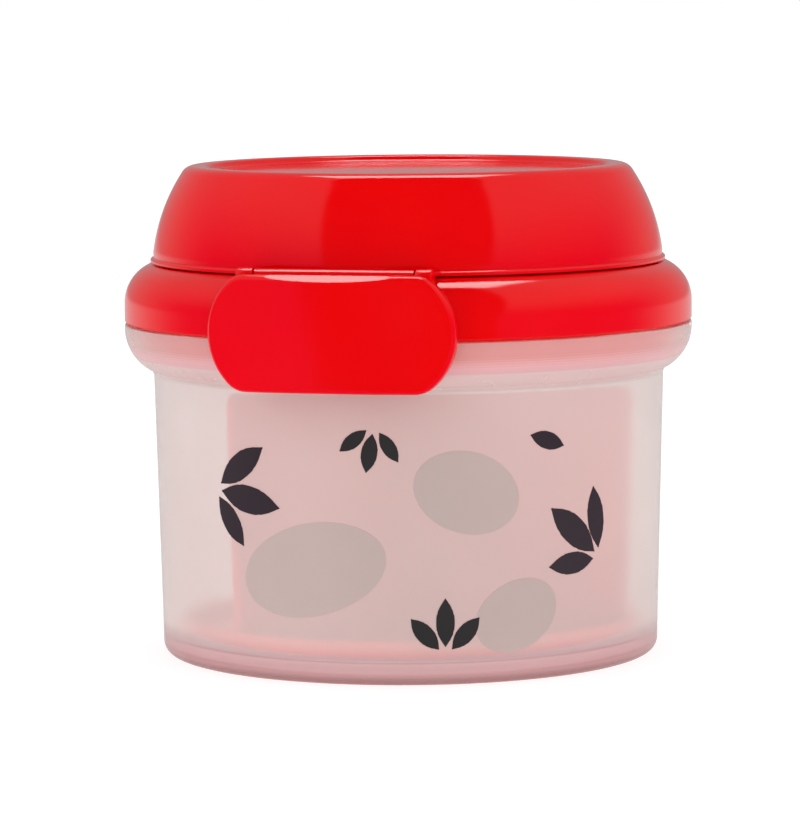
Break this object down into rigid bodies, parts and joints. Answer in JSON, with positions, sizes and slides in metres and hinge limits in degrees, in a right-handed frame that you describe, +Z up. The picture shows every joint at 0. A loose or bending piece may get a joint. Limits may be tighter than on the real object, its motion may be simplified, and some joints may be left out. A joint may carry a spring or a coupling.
{
  "type": "toddler snack container",
  "caption": "Round lidded snack cup for a toddler: frosted cup with a lift-out divider, turn-on collar with a soft slitted guard, and a flip lid with a hinged front latch.",
  "frame": {"origin": "centre of the cup's underside, on the table", "axes": "+Z up along the cup's axis, -Y towards the latch at the front, +Y towards the lid's hinge"},
  "size_m": [0.102, 0.1057, 0.0879],
  "materials": {
    "red": "glossy red polypropylene",
    "frosted": "frosted translucent polypropylene",
    "silicone": "soft translucent silicone",
    "steel": "drawn steel pin"
  },
  "bodies": {
    "cup": {"cup": "frosted", "divider": "red"},
    "guard": {"seal_ring": "silicone", "guard_frame": "red", "finger_guard": "silicone"},
    "collar": {"collar": "red", "hinge_pin": "steel"},
    "lid": {"flip_lid": "red"},
    "latch": {"latch": "red"}
  },
  "joints": [
    {"name": "collar_rise", "type": "slide", "parent": "cup", "child": "guard", "axis": [0, 0, 1], "range_m": [0, 0.0121]},
    {"name": "collar_turn", "type": "hinge", "parent": "guard", "child": "collar", "pos_m": [0, 0, 0.065], "axis": [0, 0, 1], "range_deg": [0, 180]},
    {"name": "lid_flip", "type": "hinge", "parent": "collar", "child": "lid", "pos_m": [0, 0.0489, 0.072], "axis": [-1, 0, 0], "range_deg": [0, 115]},
    {"name": "latch_swing", "type": "hinge", "parent": "lid", "child": "latch", "pos_m": [0, -0.0482, 0.0706], "axis": [-1, 0, 0], "range_deg": [0, 100]}
  ],
  "couplings": [
    {"joint": "collar_rise", "follows": "collar_turn", "m_per_rad": 0.0038197}
  ]
}
